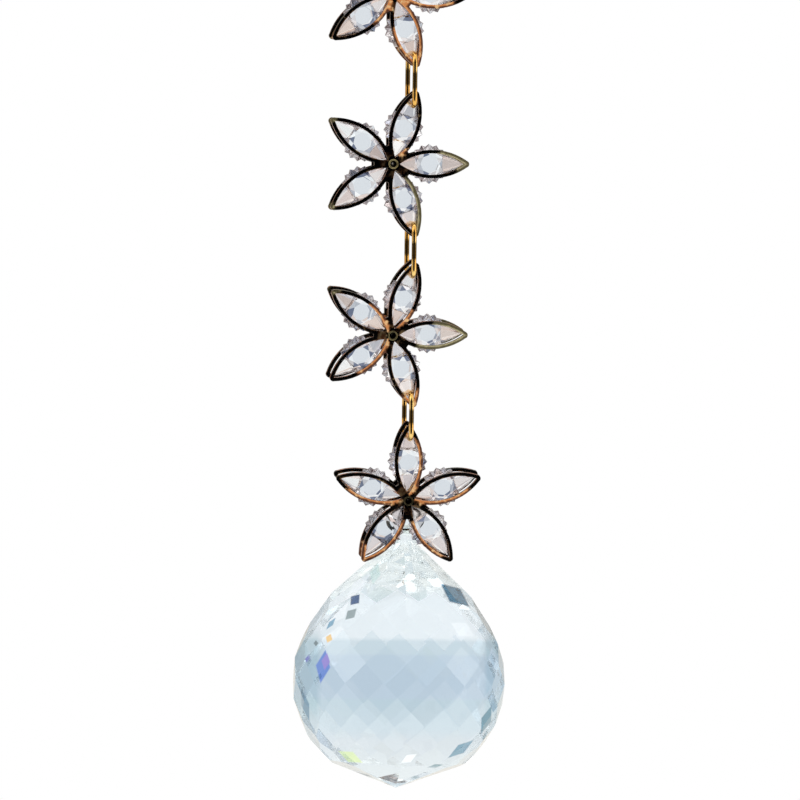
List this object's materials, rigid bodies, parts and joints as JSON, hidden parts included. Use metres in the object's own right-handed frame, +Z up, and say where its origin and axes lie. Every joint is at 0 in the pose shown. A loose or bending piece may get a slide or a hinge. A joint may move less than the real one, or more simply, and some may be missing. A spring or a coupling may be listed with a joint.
{
  "type": "crystal suncatcher",
  "caption": "Hanging suncatcher: a chain of openwork five-petal metal flowers set with faceted crystals, ending in a faceted clear crystal ball.",
  "frame": {"origin": "the point inside the top of the hanging ring where a hook bears", "axes": "+Z up along the chain, -Y out of the flowers' fronts, +X to the right seen from the front"},
  "size_m": [0.03, 0.03, 0.1385],
  "materials": {
    "frame_metal": "stamped sheet, near-black plating on the faces with copper showing on the cut edges",
    "eyelet_metal": "rolled olive-gold eyelet",
    "gold_wire": "bright gold-plated round wire",
    "petal_crystal": "faceted clear crystal with grey-blue depths",
    "ball_crystal": "polished faceted clear crystal"
  },
  "bodies": {
    "root": {"flower_1_front_frame": "frame_metal", "flower_1_back_frame": "frame_metal", "flower_1_eyelet": "eyelet_metal", "flower_1_crystal_1": "petal_crystal", "flower_1_crystal_2": "petal_crystal", "flower_1_crystal_3": "petal_crystal", "flower_1_crystal_4": "petal_crystal", "flower_1_crystal_5": "petal_crystal", "flower_2_front_frame": "frame_metal", "flower_2_back_frame": "frame_metal", "flower_2_eyelet": "eyelet_metal", "flower_2_crystal_1": "petal_crystal", "flower_2_crystal_2": "petal_crystal", "flower_2_crystal_3": "petal_crystal", "flower_2_crystal_4": "petal_crystal", "flower_2_crystal_5": "petal_crystal", "flower_3_front_frame": "frame_metal", "flower_3_back_frame": "frame_metal", "flower_3_eyelet": "eyelet_metal", "flower_3_crystal_1": "petal_crystal", "flower_3_crystal_2": "petal_crystal", "flower_3_crystal_3": "petal_crystal", "flower_3_crystal_4": "petal_crystal", "flower_3_crystal_5": "petal_crystal", "flower_4_front_frame": "frame_metal", "flower_4_back_frame": "frame_metal", "flower_4_eyelet": "eyelet_metal", "flower_4_crystal_1": "petal_crystal", "flower_4_crystal_2": "petal_crystal", "flower_4_crystal_3": "petal_crystal", "flower_4_crystal_4": "petal_crystal", "flower_4_crystal_5": "petal_crystal", "link_1": "gold_wire", "link_2": "gold_wire", "link_3": "gold_wire", "top_link": "gold_wire", "hanging_ring": "gold_wire", "ball_ring": "frame_metal", "crystal_ball": "ball_crystal"}
  },
  "joints": []
}
